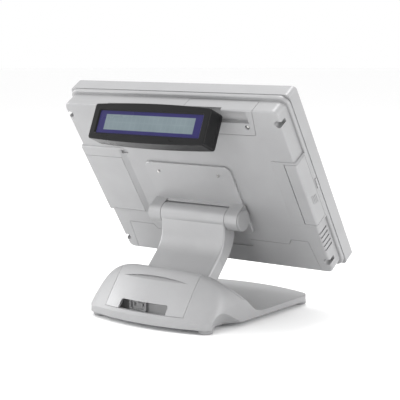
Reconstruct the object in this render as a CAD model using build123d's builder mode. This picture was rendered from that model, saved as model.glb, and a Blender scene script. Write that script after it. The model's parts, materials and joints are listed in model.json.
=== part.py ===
from build123d import *
import math
import os

# Point-of-sale touch terminal: a tilting 15-inch touch computer on a stand arm, a low base
# with an adapter compartment, and a small two-line display for the customer on its back.
# Frame: millimetres, +Z up, origin on the counter under the middle of the base.
# The operator stands at -Y and looks along +Y; the customer stands at +Y.

os.makedirs("parts", exist_ok=True)

# ---------------------------------------------------------------- driving dimensions
# base
base_depth = 270.0
base_half_width = 104.0        # at the hump; the plate narrows towards the operator
base_front_half_width = 102.0
rear_bow_radius = 280.0        # plan radius of the rear edge
front_bow_radius = 250.0       # plan radius of the front edge
base_bottom = 6.0              # lowest edge of the plastic, on top of the feet
plate_top = 14.6               # top of the plate at its front edge
crest_height = 72.0
wall = 2.5
foot_radius = 9.7
foot_height = 6.0
foot_x, foot_rear_y, foot_front_y = 88.0, 108.0, -111.0

# rear cover of the base
cover_half_width = 64.5
cover_bottom = 20.0
cover_front_y = 80.0
cover_gap = 0.4
outlet_half_width = 39.0
outlet_top = 31.5

# hinge between the stand and the head
hinge_y, hinge_z = 7.4, 130.7
shaft_radius = 5.0
running_clearance = 0.05
barrel_radius = 15.0
barrel_half = 53.2
knuckle_inner, knuckle_outer = 54.0, 74.0

# head: a slab leaning back, measured from the middle of the bezel's front face
tilt = 32.7
head_y, head_z = -27.2, 196.8
head_width, head_height = 360.0, 273.0
bezel_depth = 20.0
view_width, view_height = 306.0, 230.0
bezel_wall = 4.0
rim_inset, rim_corner = 0.8, 13.0  # rim of the rear shell, nearly flush with the bezel
rim_back = 25.5
rim_groove = 0.5               # shadow line between the bezel and the rim
shell_back = 47.5
shell_round = 2.8               # radius of the enclosure's rear edges
bay_back = 50.0

# customer display
display_tilt = 22.4
display_y, display_z = 114.0, 261.5
display_half_width, display_half_height = 94.7, 26.8
display_crown = 2.9            # rise of the bowed long edges
display_depth = 29.0
pivot_y, pivot_z = 79.4, 247.2

sin_tilt, cos_tilt = math.sin(math.radians(tilt)), math.cos(math.radians(tilt))
sin_display = math.sin(math.radians(display_tilt))
cos_display = math.cos(math.radians(display_tilt))


# ---------------------------------------------------------------- planes
def head(depth):
    """Plane parallel to the screen, depth behind its front: local x is +X, local y is up."""
    origin = (0, head_y + depth * cos_tilt, head_z - depth * sin_tilt)
    return Plane(origin=origin, x_dir=(1, 0, 0), z_dir=(0, -cos_tilt, sin_tilt))


def head_side(x):
    """Upright plane across the head at x: local x is depth behind the front, local y is up."""
    return Plane(origin=(x, head_y, head_z), x_dir=(0, cos_tilt, -sin_tilt), z_dir=(1, 0, 0))


def display(depth):
    """Plane parallel to the customer display's face: local x is -X, local y is up."""
    origin = (0, display_y - depth * cos_display, display_z - depth * sin_display)
    return Plane(origin=origin, x_dir=(-1, 0, 0), z_dir=(0, cos_display, sin_display))


def head_cross(up):
    """Plane across the head at a height: local x is +X, local y is depth behind the front."""
    origin = (0, head_y + up * sin_tilt, head_z + up * cos_tilt)
    return Plane(origin=origin, x_dir=(1, 0, 0), z_dir=(0, sin_tilt, cos_tilt))


def side(x):
    """Upright plane at x: local x is +Y, local y is +Z."""
    return Plane.YZ.offset(x)


def in_head(y, z):
    """Depth and height in the head of a point given by its y and z."""
    dy, dz = y - head_y, z - head_z
    return dy * cos_tilt - dz * sin_tilt, dy * sin_tilt + dz * cos_tilt


hinge_depth, hinge_up = in_head(hinge_y, hinge_z)
pivot_depth, pivot_up = in_head(pivot_y, pivot_z)


def finish(block, label):
    """Label a finished piece and write its STEP file."""
    block.part.label = label
    export_step(block.part, f"parts/{label}.step")


# ---------------------------------------------------------------- base forms
# finger recesses under the sides: (y, z) outline at the side wall and at the inner end
scoop_mouth = [(31, -2), (73, 18.5), (107, 26.3), (118, 19.3), (121, -2)]
scoop_end = [(58, -2), (70, 5.0), (82, 7.5), (89, 5.5), (92, -2)]
scoop_inner_x = 90.0


def footprint(inset):
    """Plan outline of the base, moved inwards by inset."""
    rear, front = base_depth / 2 - inset, -base_depth / 2 + inset
    rear_x, front_x = base_half_width - inset, base_front_half_width - inset
    rear_corner = rear - rear_x ** 2 / (2 * rear_bow_radius)
    front_corner = front + front_x ** 2 / (2 * front_bow_radius)
    with BuildSketch() as outline:
        with BuildLine():
            ThreePointArc((-rear_x, rear_corner), (0, rear), (rear_x, rear_corner))
            Line((rear_x, rear_corner), (front_x, front_corner))
            ThreePointArc((front_x, front_corner), (0, front), (-front_x, front_corner))
            Line((-front_x, front_corner), (-rear_x, rear_corner))
        make_face()
        fillet(outline.vertices(), radius=20 - inset)
    return outline.sketch


def front_curve(drop):
    """Side view of the plate and the slope up to the crest, moved inwards by drop."""
    slope_y, slope_z = 0.615 * drop, -0.788 * drop
    plate_end = (-4, 13 - drop)
    slope_start = (24 + slope_y, 20.2 + slope_z)
    slope_end = (66 + slope_y, 53.0 + slope_z)
    crest = (93, crest_height + 0.6 - drop)
    Line((-140, plate_top - drop), plate_end)
    Spline(plate_end, slope_start, tangents=[(1, 0), (0.788, 0.615)])
    Line(slope_start, slope_end)
    Spline(slope_end, crest, tangents=[(0.788, 0.615), (1, 0.05)])
    return crest


def hump_height(x, y, inset):
    """Height of the hump's smooth rear and shoulders over (x, y)."""
    half = base_half_width + 1.0 - inset
    top = crest_height - inset
    share = min(abs(x) / half, 0.9995)
    shoulder = (top - 14) * (1 - (1 - share ** 3.6) ** 0.4)
    back = y + x * x / (2 * rear_bow_radius) + 1.25 * inset - 88
    rear = 0.0 if back < 0 else 1.45 * (math.sqrt(back * back + 9.0 ** 2) - 9.0)
    drop = (shoulder ** 2.4 + rear ** 2.4) ** (1 / 2.4)
    return max(top - drop, -40.0)


def hump_surface(inset):
    """Smooth sheet over the whole base that cuts the hump's shape."""
    half = base_half_width + 0.6 - inset
    columns = [half * math.sin(math.pi / 2 * k / 18) for k in range(-18, 19)]
    rows = [-150 + 10 * k for k in range(22)] + [70 + 4 * k for k in range(19)]
    grid = [[(x, y, hump_height(x, y, inset)) for y in rows] for x in columns]
    return Face.make_surface_from_array_of_points(grid, tol=0.05, min_deg=3, max_deg=5)


def base_form(inset, drop, floor):
    """Closed outer shape of the base, moved inwards by inset, from floor upwards."""
    with BuildPart() as form:
        with BuildSketch(Plane.XY.offset(floor)):
            add(footprint(inset))
        extrude(amount=crest_height + 20)
        extrude(to_extrude=hump_surface(inset), amount=130, dir=(0, 0, -1), mode=Mode.INTERSECT)
        with BuildSketch(side(-120)):
            with BuildLine():
                crest = front_curve(drop)
                Polyline(crest, (crest[0], 100), (150, 100), (150, -5), (-140, -5),
                         (-140, plate_top - drop))
            make_face()
        extrude(amount=240, mode=Mode.INTERSECT)
    return form.part


def scoop_outline(points, grow):
    """Arched side view of a finger recess, its points moved outwards by grow."""
    outward = ((-1, 0), (-0.4, 0.9), (0, 1), (0.8, 0.6), (1, 0))
    moved = [(y + grow * ny, z + grow * nz) for (y, z), (ny, nz) in zip(points, outward)]
    with BuildSketch() as outline:
        with BuildLine():
            Spline(*moved, tangents=[(0.92, 0.4), (0.1, -1)])
            Line(moved[-1], moved[0])
        make_face()
    return outline.sketch


def scoop(side_sign, grow):
    """Finger recess under one side of the base, made larger by grow on every side."""
    with BuildPart() as form:
        with BuildSketch(side(side_sign * (base_half_width + 1))):
            add(scoop_outline(scoop_mouth, grow))
        with BuildSketch(side(side_sign * (scoop_inner_x - grow))):
            add(scoop_outline(scoop_end, grow))
        loft(ruled=True)
    return form.part


base_outer = base_form(0, 0, base_bottom)
scoops = [scoop(sign, 0) for sign in (-1, 1)]
scoop_liners = [scoop(sign, wall) for sign in (-1, 1)]


def box_form(x_range, y_range, z_range):
    """Plain block used as a cutting form."""
    low = (x_range[0], y_range[0], z_range[0])
    size = [high - start for start, high in zip(low, (x_range[1], y_range[1], z_range[1]))]
    block = Box(*size, align=(Align.MIN, Align.MIN, Align.MIN), mode=Mode.PRIVATE)
    return block.moved(Location(low))


def cover_region(gap):
    """Block that holds the rear cover of the base, widened by gap."""
    half = cover_half_width + gap
    return box_form((-half, half), (cover_front_y - gap, 160), (cover_bottom - gap, 100))


# ---------------------------------------------------------------- base pieces
cover_strip_inset = 1.2         # rim of the rear housing that frames the top cover
ledge_width, ledge_thickness = 8.0, 2.4
plate_low, plate_high = foot_height, foot_height + 2.0
plate_inset = 4.5
plate_screws = [(-96.0, -70.0), (96.0, -70.0), (-60.0, 122.0), (60.0, 122.0)]
plate_screw_radius = 1.5
flange_screws = [(-30.0, 34.0), (30.0, 34.0), (-30.0, 46.0), (30.0, 46.0)]
flange_high, flange_screw_radius = 12.0, 2.0


def strip_form(outer_drop, inner_drop, rear_y):
    """Layer that follows the plate and the slope, between two depths, up to rear_y."""
    with BuildPart() as form:
        with BuildSketch(side(-120)):
            for drop, mode in ((outer_drop, Mode.ADD), (inner_drop, Mode.SUBTRACT)):
                with BuildLine():
                    crest = front_curve(drop)
                    Polyline(crest, (crest[0], -20), (-140, -20), (-140, plate_top - drop))
                make_face(mode=mode)
        extrude(amount=240)
        add(box_form((-120, 120), (rear_y, 150), (-30, 120)), mode=Mode.SUBTRACT)
    return form.part


def column_form(inset):
    """Column over the base's plan outline, moved inwards by inset."""
    with BuildPart() as form:
        with BuildSketch(Plane.XY.offset(base_bottom - 3)):
            add(footprint(inset))
        extrude(amount=crest_height + 10)
    return form.part


with BuildPart() as cover_ledge:
    add(column_form(0))
    add(column_form(ledge_width), mode=Mode.SUBTRACT)
    add(strip_form(0, wall + cover_gap + ledge_thickness, cover_front_y), mode=Mode.INTERSECT)

with BuildPart() as base_cavity:
    add(base_form(wall, wall + cover_gap, base_bottom - 3))
    add(cover_ledge.part, mode=Mode.SUBTRACT)
    for liner in scoop_liners:
        add(liner, mode=Mode.SUBTRACT)
    with BuildSketch(Plane.XY.offset(plate_high)):
        with Locations(*plate_screws):
            Circle(4.5)
    extrude(amount=4.5, mode=Mode.SUBTRACT)

with BuildPart() as top_cover_seat:
    add(column_form(cover_strip_inset - cover_gap))
    add(strip_form(-5, wall + cover_gap, cover_front_y - cover_gap), mode=Mode.INTERSECT)

with BuildPart() as base_rear_housing:
    add(base_outer)
    add(base_cavity.part, mode=Mode.SUBTRACT)
    add(top_cover_seat.part, mode=Mode.SUBTRACT)
    for recess in scoops:
        add(recess, mode=Mode.SUBTRACT)
    add(cover_region(cover_gap), mode=Mode.SUBTRACT)
    with BuildSketch(Plane.XY.offset(base_bottom)):
        with Locations(*plate_screws):
            Circle(plate_screw_radius)
    extrude(amount=plate_high + 3.5 - base_bottom, mode=Mode.SUBTRACT)
finish(base_rear_housing, "base_rear_housing")


# stand arm: a thick plate that leaves the barrel downwards and bends back into the hump
arm_half = 53.0
arm_slot_gap = 0.6
arm_seam = 5.5                  # width of the rear shell's flanges seen from the side


def arm_profile(rear_in, front_in, reach=36.0):
    """Side view of the arm below the hinge axis, moved inwards at its rear and its front."""
    rear_y, front_y = 20.9 - rear_in, -2.9 + front_in
    bend_y, bend_z = 64.9, 112.0
    bend = bend_y - rear_y
    middle, end = math.radians(22.5), math.radians(45)
    rear_mid = (bend_y - bend * math.cos(middle), bend_z - bend * math.sin(middle))
    rear_end = (bend_y - bend * math.cos(end), bend_z - bend * math.sin(end))
    foot_rear = (rear_end[0] + reach, rear_end[1] - reach)
    knee = (11.5 + 0.7 * front_in, 79.0 + 0.7 * front_in)
    foot_front = (knee[0] + 1.125 * reach, knee[1] - 1.25 * reach)
    with BuildSketch() as outline:
        with BuildLine():
            Line((rear_y, hinge_z), (rear_y, bend_z))
            ThreePointArc((rear_y, bend_z), rear_mid, rear_end)
            Polyline(rear_end, foot_rear, foot_front, knee)
            ThreePointArc(knee, (1.2 + front_in, 94.0), (front_y, 110.0))
            Polyline((front_y, 110.0), (front_y, hinge_z), (rear_y, hinge_z))
        make_face()
    return outline.sketch


def is_rear_arm_edge(edge):
    """True for the long edges down both sides of the arm's rear."""
    middle = edge.center()
    return abs(middle.X) > arm_half - 0.1 and middle.Y > 18 and middle.Y + middle.Z > 108


def arm_solid(inset, radius, reach=36.0, rounding=0.0):
    """The arm with its barrel, moved inwards by inset, the barrel's radius given."""
    with BuildPart() as form:
        with BuildSketch(side(-arm_half + inset)):
            add(arm_profile(inset, inset, reach))
        extrude(amount=2 * (arm_half - inset))
        if rounding > 0:
            fillet(form.edges().filter_by(is_rear_arm_edge), radius=rounding)
        with BuildSketch(side(-barrel_half + inset)):
            with Locations((hinge_y, hinge_z)):
                Circle(radius)
        extrude(amount=2 * (barrel_half - inset))
    return form.part


def arm_front_region(gap):
    """Side view of the front cover's share of the arm, made larger by gap."""
    with BuildSketch() as outline:
        add(arm_profile(arm_seam - gap, -5))
        with BuildLine():
            Polyline((15.4 + gap, 116), (9 + gap, 150), (-12, 150), (-12, 116), close=True)
        make_face()
        with BuildLine():
            Polyline((30.5, 82.6 - gap), (18.0, 63.7 - gap), (-20, 63.7 - gap), (-20, 20),
                     (90, 20), (90, 82.6 - gap), close=True)
        make_face(mode=Mode.SUBTRACT)
    return outline.sketch


with BuildPart() as arm_skin:
    add(arm_solid(0, barrel_radius, rounding=3.0))
    add(arm_solid(wall, barrel_radius - wall, 46), mode=Mode.SUBTRACT)
    with BuildSketch(side(-barrel_half)):
        with Locations((hinge_y, hinge_z)):
            Circle(shaft_radius + 1)
    extrude(amount=2 * barrel_half, mode=Mode.SUBTRACT)

with BuildPart() as arm_rear_shell:
    add(arm_skin.part)
    with BuildSketch(side(-60)):
        add(arm_front_region(0.3))
    extrude(amount=120, mode=Mode.SUBTRACT)
finish(arm_rear_shell, "arm_rear_shell")

with BuildPart() as arm_front_cover:
    add(arm_skin.part)
    with BuildSketch(side(-60)):
        add(arm_front_region(0))
    extrude(amount=120, mode=Mode.INTERSECT)
finish(arm_front_cover, "arm_front_cover")

casting_inset = 3.2
with BuildPart() as arm_casting:
    for web_low in (-44, 14):
        with BuildSketch(side(web_low)):
            add(arm_profile(casting_inset, casting_inset))
        extrude(amount=30)
        with BuildSketch(side(web_low)):
            with Locations((56, plate_high)):
                Rectangle(10, 33, align=(Align.MIN, Align.MIN))
        extrude(amount=30)
    with BuildSketch(Plane.XY.offset(plate_high)):
        with Locations((0, 26)):
            Rectangle(88, 40, align=(Align.CENTER, Align.MIN))
    extrude(amount=flange_high - plate_high)
    with BuildSketch(side(-50.2)):
        with Locations((hinge_y, hinge_z)):
            Circle(11)
    extrude(amount=100.4)
    with BuildSketch(side(-60)):
        with Locations((hinge_y, hinge_z)):
            Circle(shaft_radius)
    extrude(amount=120, mode=Mode.SUBTRACT)
    with BuildSketch(Plane.XY.offset(plate_high)):
        with Locations(*flange_screws):
            Circle(flange_screw_radius)
    extrude(amount=flange_high - plate_high, mode=Mode.SUBTRACT)
finish(arm_casting, "arm_casting")

with BuildPart() as base_top_cover:
    add(column_form(cover_strip_inset))
    add(base_outer, mode=Mode.INTERSECT)
    add(strip_form(-0.5, wall, cover_front_y - 2 * cover_gap), mode=Mode.INTERSECT)
    with BuildSketch(side(-arm_half - arm_slot_gap)):
        add(arm_profile(-arm_slot_gap, -arm_slot_gap))
    extrude(amount=2 * (arm_half + arm_slot_gap), mode=Mode.SUBTRACT)
finish(base_top_cover, "base_top_cover")

with BuildPart() as base_bottom_plate:
    with BuildSketch(Plane.XY.offset(plate_low)):
        add(footprint(plate_inset))
    extrude(amount=plate_high - plate_low)
    for sign in (-1, 1):
        add(scoop(sign, wall + 1.5), mode=Mode.SUBTRACT)
    with BuildSketch(Plane.XY.offset(plate_low)):
        with Locations(*plate_screws):
            Circle(plate_screw_radius)
        with Locations(*flange_screws):
            Circle(flange_screw_radius)
    extrude(amount=plate_high - plate_low, mode=Mode.SUBTRACT)
    add(base_rear_housing.part, mode=Mode.SUBTRACT)
finish(base_bottom_plate, "base_bottom_plate")

with BuildPart() as rubber_feet:
    with BuildSketch(Plane.XY):
        with Locations(*[(sign * foot_x, y) for sign in (-1, 1)
                         for y in (foot_rear_y, foot_front_y)]):
            Circle(foot_radius)
    extrude(amount=foot_height)
    chamfer(rubber_feet.edges().group_by(Axis.Z)[0], length=0.8)
finish(rubber_feet, "rubber_feet")

with BuildPart() as base_screws:
    with BuildSketch(Plane.XY.offset(plate_low - 1.4)):
        with Locations(*plate_screws):
            Circle(3)
    extrude(amount=1.4)
    with BuildSketch(Plane.XY.offset(plate_low)):
        with Locations(*plate_screws):
            Circle(plate_screw_radius)
    extrude(amount=plate_high + 3 - plate_low)
finish(base_screws, "base_screws")

with BuildPart() as flange_bolts:
    with BuildSketch(Plane.XY.offset(flange_high)):
        with Locations(*flange_screws):
            RegularPolygon(radius=4, side_count=6)
    extrude(amount=2.6)
    with BuildSketch(Plane.XY.offset(plate_low + 0.4)):
        with Locations(*flange_screws):
            Circle(flange_screw_radius)
    extrude(amount=flange_high - plate_low - 0.4)
finish(flange_bolts, "arm_flange_bolts")

# mains adapter kept in the hump, its inlet facing the cable opening
adapter_half, adapter_front, adapter_rear, adapter_top = 62.0, 69.0, 106.0, 40.0
inlet_x, inlet_z = 21.0, 25.0
with BuildPart() as power_adapter:
    with BuildSketch(Plane.XY.offset(plate_high)):
        with Locations((0, (adapter_front + adapter_rear) / 2)):
            RectangleRounded(2 * adapter_half, adapter_rear - adapter_front, 5)
    extrude(amount=adapter_top - plate_high)
    fillet(power_adapter.edges().group_by(Axis.Z)[-1], radius=3)
finish(power_adapter, "power_adapter")

with BuildPart() as mains_inlet:
    with BuildSketch(Plane.XZ.offset(-adapter_rear)):
        with Locations((inlet_x, inlet_z)):
            RectangleRounded(28, 20, 2)
    extrude(amount=-5)
    with BuildSketch(Plane.XZ.offset(-adapter_rear - 1)):
        with Locations((inlet_x, inlet_z)):
            RectangleRounded(24, 16, 4)
    extrude(amount=-5, mode=Mode.SUBTRACT)
    with BuildSketch(Plane.XZ.offset(-adapter_rear - 1)):
        with Locations((inlet_x, inlet_z + 2), (inlet_x - 7, inlet_z - 2), (inlet_x + 7, inlet_z - 2)):
            Rectangle(2, 4)
    extrude(amount=-3.5)
finish(mains_inlet, "mains_inlet")

# rear cover of the base: a curved door with a finger ledge and a cable outlet
ledge_y, ledge_z = 104.9, 57.5       # lowest line of the ledge in the middle
ledge_half, ledge_rise, ledge_slope = 55.0, 5.0, 1.6
ledge_backing = 2.0
with BuildPart() as ledge_cut:
    with BuildSketch(Plane.YZ):
        with BuildLine():
            Polyline((ledge_y, ledge_z), (ledge_y - 8 * ledge_slope, ledge_z + 8),
                     (ledge_y + 20, ledge_z + 8), (ledge_y + 20, ledge_z), close=True)
        make_face()
    revolve(axis=Axis((0, ledge_y - rear_bow_radius, 0), (0, 0, 1)))
    with BuildSketch(Plane.XZ.offset(-160)):
        with BuildLine():
            ThreePointArc((-ledge_half, ledge_z), (0, ledge_z + ledge_rise), (ledge_half, ledge_z))
            Polyline((ledge_half, ledge_z), (ledge_half, ledge_z - 2), (-ledge_half, ledge_z - 2),
                     (-ledge_half, ledge_z))
        make_face()
    extrude(amount=80, mode=Mode.INTERSECT)

with BuildPart() as ledge_pad:
    add(base_form(wall - 0.2, wall - 0.2, base_bottom - 3))
    add(base_form(wall + ledge_backing, wall + ledge_backing, base_bottom - 3), mode=Mode.SUBTRACT)
    add(box_form((-ledge_half - 3, ledge_half + 3), (90, 125), (ledge_z - 5, ledge_z + ledge_rise + 4)),
        mode=Mode.INTERSECT)

with BuildPart() as base_rear_cover:
    add(base_outer)
    add(base_form(wall, wall, base_bottom - 3), mode=Mode.SUBTRACT)
    add(cover_region(0), mode=Mode.INTERSECT)
    add(ledge_pad.part)
    add(ledge_cut.part, mode=Mode.SUBTRACT)
    with BuildSketch(Plane.XZ.offset(-160)):
        with Locations((0, cover_bottom - 4)):
            RectangleRounded(2 * outlet_half_width, 2 * (outlet_top - cover_bottom) + 8, 4)
    extrude(amount=60, mode=Mode.SUBTRACT)
finish(base_rear_cover, "base_rear_cover")

with BuildPart() as ballast_plate:
    with BuildSketch(Plane.XY.offset(plate_high)):
        with Locations((0, -59)):
            RectangleRounded(174, 98, 4)
    extrude(amount=2.0)
finish(ballast_plate, "ballast_plate")


# ---------------------------------------------------------------- hinge of the head
washer_in, washer_out = 62.4, 66.4
nut_in, nut_out = 66.6, 71.4
stud_radius = 4.0
counterbore_start, counterbore_radius = 62.0, 9.0
cap_radius = 14.3


def ring_pair(inner_x, outer_x, outline):
    """The same sketch round the hinge axis, extruded between two distances on both sides."""
    with BuildPart() as form:
        for start in (-outer_x, inner_x):
            with BuildSketch(side(start)):
                with Locations((hinge_y, hinge_z)):
                    add(outline)
            extrude(amount=outer_x - inner_x)
    return form.part


def ring_sketch(outer, inner):
    """Ring, or a disc when inner is zero."""
    with BuildSketch() as outline:
        Circle(outer)
        if inner > 0:
            Circle(inner, mode=Mode.SUBTRACT)
    return outline.sketch


with BuildPart() as hinge_shaft:
    with BuildSketch(side(-washer_out - 0.1)):
        with Locations((hinge_y, hinge_z)):
            Circle(shaft_radius)
    extrude(amount=2 * washer_out + 0.2)
    add(ring_pair(washer_out, nut_out + 0.1, ring_sketch(stud_radius, 0)))
finish(hinge_shaft, "hinge_shaft")

with BuildPart() as spring_washers:
    add(ring_pair(washer_in, washer_in + 1.2, ring_sketch(8.2, shaft_radius)))
    add(ring_pair(washer_in + 1.2, washer_out - 1.2, ring_sketch(7.0, shaft_radius)))
    add(ring_pair(washer_out - 1.2, washer_out, ring_sketch(8.2, shaft_radius)))
finish(spring_washers, "hinge_spring_washers")

with BuildSketch() as nut_outline:
    RegularPolygon(radius=7.5, side_count=6)
    Circle(stud_radius, mode=Mode.SUBTRACT)
with BuildPart() as lock_nuts:
    add(ring_pair(nut_in, nut_out, nut_outline.sketch))
finish(lock_nuts, "hinge_lock_nuts")


# ---------------------------------------------------------------- bracket on the head's back
plate_back = 51.0
plate_half = 71.0
plate_top_v, plate_bottom_v = 39.0, -74.0
fairing_low, fairing_high = -42.0, -21.5
fairing_tip = (55.5, -22.8)          # depth and height of the fairing's rear edge
barrel_gap = 0.65
bracket_screws = [(sign * 50.0, v) for sign in (-1, 1) for v in (25.0, -63.0)]
bracket_screw_radius = 1.8

with BuildPart() as tilt_bracket:
    with BuildSketch(head(shell_back)):
        with Locations((0, (plate_top_v + plate_bottom_v) / 2)):
            RectangleRounded(2 * plate_half, plate_top_v - plate_bottom_v, 9)
    extrude(amount=shell_back - plate_back)
    chamfer(tilt_bracket.faces().sort_by(Axis((0, 0, 0), (0, cos_tilt, -sin_tilt)))[-1].edges(), 0.9)
    for start in (-knuckle_outer, knuckle_inner):
        with BuildSketch(head_side(start)):
            with BuildLine():
                CenterArc((hinge_depth, hinge_up), barrel_radius, 0, 360)
                Line((plate_back - 0.4, fairing_low), (plate_back - 0.4, fairing_high))
            make_hull()
        extrude(amount=knuckle_outer - knuckle_inner)
    with BuildSketch(head_side(-knuckle_inner - 1)):
        with BuildLine():
            Polyline((plate_back - 0.4, fairing_high), (plate_back - 0.4, fairing_high - 20),
                     (fairing_tip[0], fairing_high - 20), fairing_tip, close=True)
        make_face()
    extrude(amount=2 * knuckle_inner + 2)
    for reach, radius in ((knuckle_inner, barrel_radius + barrel_gap),
                          (knuckle_outer, shaft_radius + running_clearance)):
        with BuildSketch(head_side(-reach)):
            with Locations((hinge_depth, hinge_up)):
                Circle(radius)
        extrude(amount=2 * reach, mode=Mode.SUBTRACT)
    add(ring_pair(counterbore_start, knuckle_outer, ring_sketch(counterbore_radius, 0)), mode=Mode.SUBTRACT)
    with BuildSketch(head(shell_back)):
        with Locations(*bracket_screws):
            Circle(bracket_screw_radius)
    extrude(amount=shell_back - plate_back, mode=Mode.SUBTRACT)
finish(tilt_bracket, "tilt_bracket")

with BuildPart() as end_caps:
    add(ring_pair(knuckle_outer, knuckle_outer + 1.5, ring_sketch(cap_radius, 0)))
    chamfer(end_caps.edges().group_by(Axis.X)[0], 0.7)
    chamfer(end_caps.edges().group_by(Axis.X)[-1], 0.7)
    add(ring_pair(knuckle_outer - 1.8, knuckle_outer, ring_sketch(counterbore_radius - 0.05, 0)))
finish(end_caps, "hinge_end_caps")

with BuildPart() as bracket_screw_set:
    with BuildSketch(head(plate_back)):
        with Locations(*bracket_screws):
            Circle(3.6)
    extrude(amount=-1.8)
    fillet(bracket_screw_set.faces().sort_by(Axis((0, 0, 0), (0, cos_tilt, -sin_tilt)))[-4:].edges(), 0.9)
    with BuildSketch(head(plate_back)):
        with Locations(*bracket_screws):
            Circle(bracket_screw_radius)
    extrude(amount=10)
finish(bracket_screw_set, "bracket_screws")


# ---------------------------------------------------------------- head enclosure
rim_width, rim_height = head_width - 2 * rim_inset, head_height - 2 * rim_inset
bezel_inner_width, bezel_inner_height = head_width - 2 * bezel_wall, head_height - 2 * bezel_wall
block_width, block_height, block_corner = 350.6, 260.0, 9.0
seam = 0.5                      # gap round the removable panels
lip = 3.0                       # thickness of the bezel round the screen
glass_width, glass_height = 320.0, 244.0
well_x, well_v, well_radius, well_floor = 171.0, 111.0, 5.0, 35.5
head_screw_radius, boss_radius = 1.6, 5.8
wells = [(sx * well_x, sv * well_v) for sx in (-1, 1) for sv in (-1, 1)]
vent_count, vent_first, vent_pitch = 5, -63.0, 7.0
light_x, light_v, light_radius = 150.0, -127.0, 1.5
button_low, button_high = -4.0, 10.0
button_depth, button_half_depth, button_face = 23.2, 1.8, 179.8
hatch_inner_x = -31.0
hatch_low = (-131.6, 92.2)       # lower outer corner of the hatch
hatch_lean = 0.185               # sideways lean of its outer edge per millimetre of height
hatch_screw = (-123.2, 104.3)
hatch_tab = (40.5, 43.0)         # depth range of the tab the hatch is screwed to
recess_floor = 42.5              # bottom of the recess behind the customer display
bay_out, bay_front, bay_round = 178.5, 28.0, 3.0
bay_step = 1.5                   # slope of the bays' two ends


def slab(width, height, corner, start, end):
    """Rounded slab parallel to the screen between two depths."""
    with BuildPart() as form:
        with BuildSketch(head(start)):
            RectangleRounded(width, height, corner)
        extrude(amount=start - end)
    return form.part


def head_block(x_range, v_range, depth_range):
    """Block square to the head, given by its x, up and depth ranges."""
    with BuildPart() as form:
        with BuildSketch(head(depth_range[0])):
            with Locations((x_range[0], v_range[0])):
                Rectangle(x_range[1] - x_range[0], v_range[1] - v_range[0],
                          align=(Align.MIN, Align.MIN))
        extrude(amount=depth_range[0] - depth_range[1])
    return form.part


def pillars(points, radius, start, end):
    """Round posts square to the screen between two depths."""
    with BuildPart() as form:
        with BuildSketch(head(start)):
            with Locations(*points):
                Circle(radius)
        extrude(amount=start - end)
    return form.part


def rounded_back(width, height, corner, start, end, roundness):
    """Rounded slab whose rear edges are rounded over."""
    with BuildPart() as form:
        add(slab(width, height, corner, start, end))
        backwards = Axis((0, 0, 0), (0, cos_tilt, -sin_tilt))
        fillet(form.faces().sort_by(backwards)[-1].edges(), radius=roundness)
    return form.part


def side_form(sign, x_in, x_out, v_range, depth_range, roundness):
    """Block on one side of the head whose outer rear edge is rounded."""
    front, back = depth_range
    with BuildPart() as form:
        with BuildSketch(head_cross(v_range[0])):
            with BuildLine():
                Polyline((sign * (x_out - roundness), back), (sign * x_in, back),
                         (sign * x_in, front), (sign * x_out, front),
                         (sign * x_out, back - roundness))
                turn = roundness * (1 - math.sqrt(0.5))
                ThreePointArc((sign * x_out, back - roundness),
                              (sign * (x_out - turn), back - turn),
                              (sign * (x_out - roundness), back))
            make_face()
        extrude(amount=v_range[1] - v_range[0])
    return form.part


def bay(sign, x_in, x_flat, v_range):
    """Bay on one side of the head that rises from the shell at x_in to its full height at x_flat."""
    front, turn = rim_back - 1, bay_round * (1 - math.sqrt(0.5))
    with BuildPart() as form:
        with BuildSketch(head_cross(v_range[0])):
            with BuildLine():
                Polyline((sign * (bay_out - bay_round), bay_back), (sign * x_flat, bay_back),
                         (sign * x_in, shell_back - 0.05), (sign * x_in, front),
                         (sign * bay_out, front), (sign * bay_out, bay_back - bay_round))
                ThreePointArc((sign * bay_out, bay_back - bay_round),
                              (sign * (bay_out - turn), bay_back - turn),
                              (sign * (bay_out - bay_round), bay_back))
            make_face()
        extrude(amount=v_range[1] - v_range[0])
        ends = [edge for face in form.faces().filter_by(Axis((0, 0, 0), (0, sin_tilt, cos_tilt)))
                for edge in face.edges()]
        sloped = [edge for edge in ends if in_head(edge.center().Y, edge.center().Z)[0] > bay_front + 3
                  and abs(edge.center().X) > x_flat + 1]
        chamfer(sloped, length=bay_step)
    return form.part


def recess_form(grow):
    """Recess in the head's upper back that clears the customer display, made larger by grow."""
    with BuildPart() as form:
        add(head_block((-128 - grow, -90), (110.5 - grow, 127.5), (recess_floor - grow, 60)))
        add(head_block((-91 - grow, 96 + grow), (110.5 - grow, 140), (recess_floor - grow, 60)))
    return form.part


def panel_prism(points, gap, rounding, start):
    """Block behind a polygon on the head's back, widened by gap, with rounded corners."""
    with BuildPart() as form:
        with BuildSketch(head(start)) as outline:
            with BuildLine():
                Polyline(*points, close=True)
            make_face()
            fillet(outline.vertices(), radius=rounding)
            if gap > 0:
                offset(amount=gap, kind=Kind.ARC)
        extrude(amount=start - 60)
    return form.part


def hatch_form(gap):
    """Share of the shell that belongs to the top hatch, widened by gap."""
    lean = hatch_lean * 60
    corners = [(hatch_inner_x, hatch_low[1]), hatch_low, (hatch_low[0] - lean, hatch_low[1] + 60),
               (hatch_inner_x, hatch_low[1] + 60)]
    return panel_prism(corners, gap, 3, rim_back + 0.5 - gap)


def connector_form(gap):
    """Share of the shell that belongs to the connector cover, widened by gap."""
    corners = [(-162, -170), (-152, -78.7), (-126, -79), (-121, -87), (104, -87), (108, -79),
               (152, -78.7), (162, -170)]
    return panel_prism(corners, gap, 1.2, rim_back + 0.5 - gap)


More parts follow.
